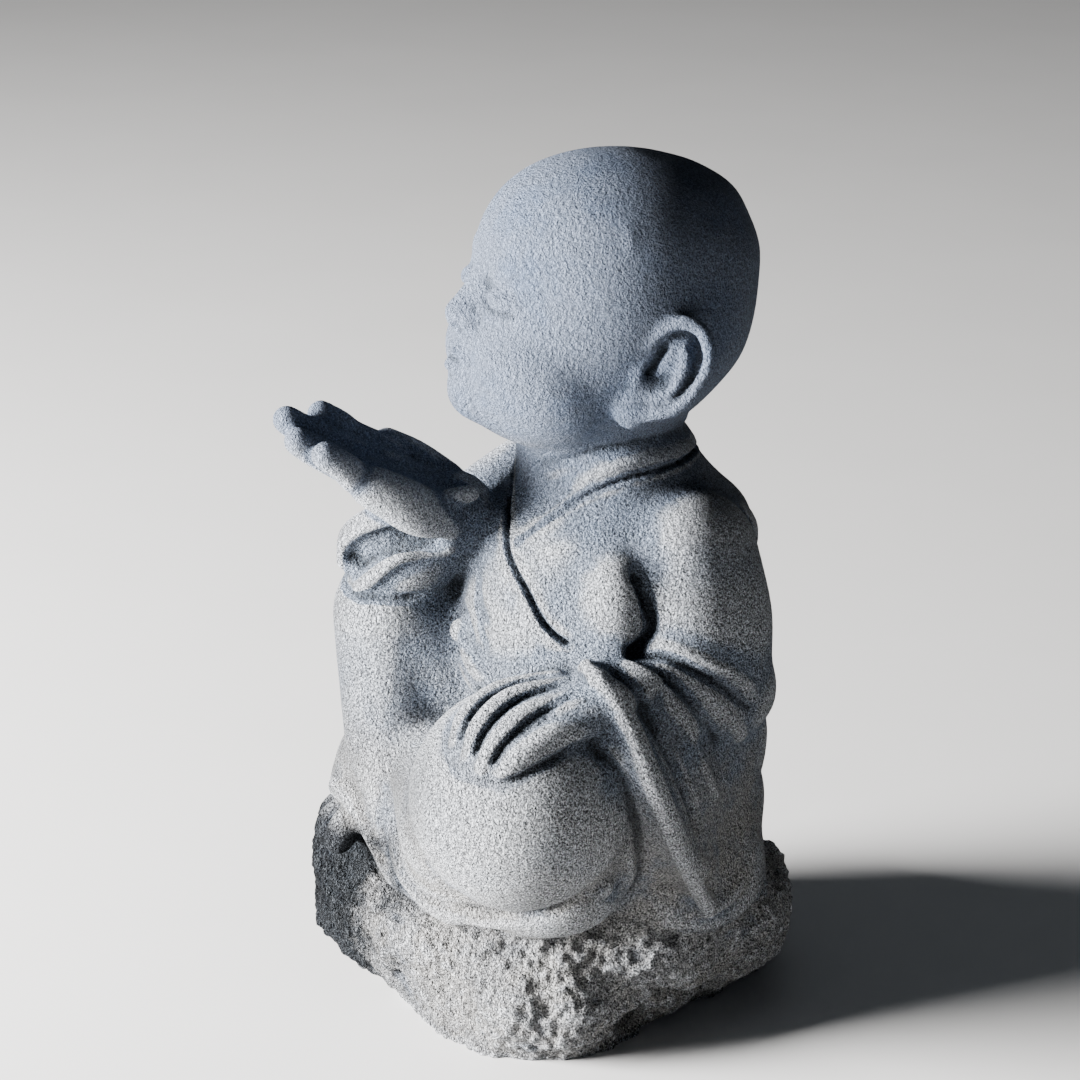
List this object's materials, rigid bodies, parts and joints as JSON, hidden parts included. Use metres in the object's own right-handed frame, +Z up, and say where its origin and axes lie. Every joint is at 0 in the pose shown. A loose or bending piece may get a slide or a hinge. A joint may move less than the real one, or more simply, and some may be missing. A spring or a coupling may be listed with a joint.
{
  "type": "child monk figurine",
  "caption": "Small cast-stone garden figurine of a bald child monk seated on a rough rock, open palm raised to the chin, other hand on the knee.",
  "frame": {"origin": "centre of the bounding box on the flat underside of the rock", "axes": "+Z up through the crown, -Y the way the figure's chest and knees face, +X to the figure's own left"},
  "size_m": [0.2235, 0.2366, 0.4017],
  "materials": {
    "cast_stone": "rough sandy cast stone, blue-grey with pale worn ridges"
  },
  "bodies": {
    "root": {"child_monk": "cast_stone"}
  },
  "joints": []
}
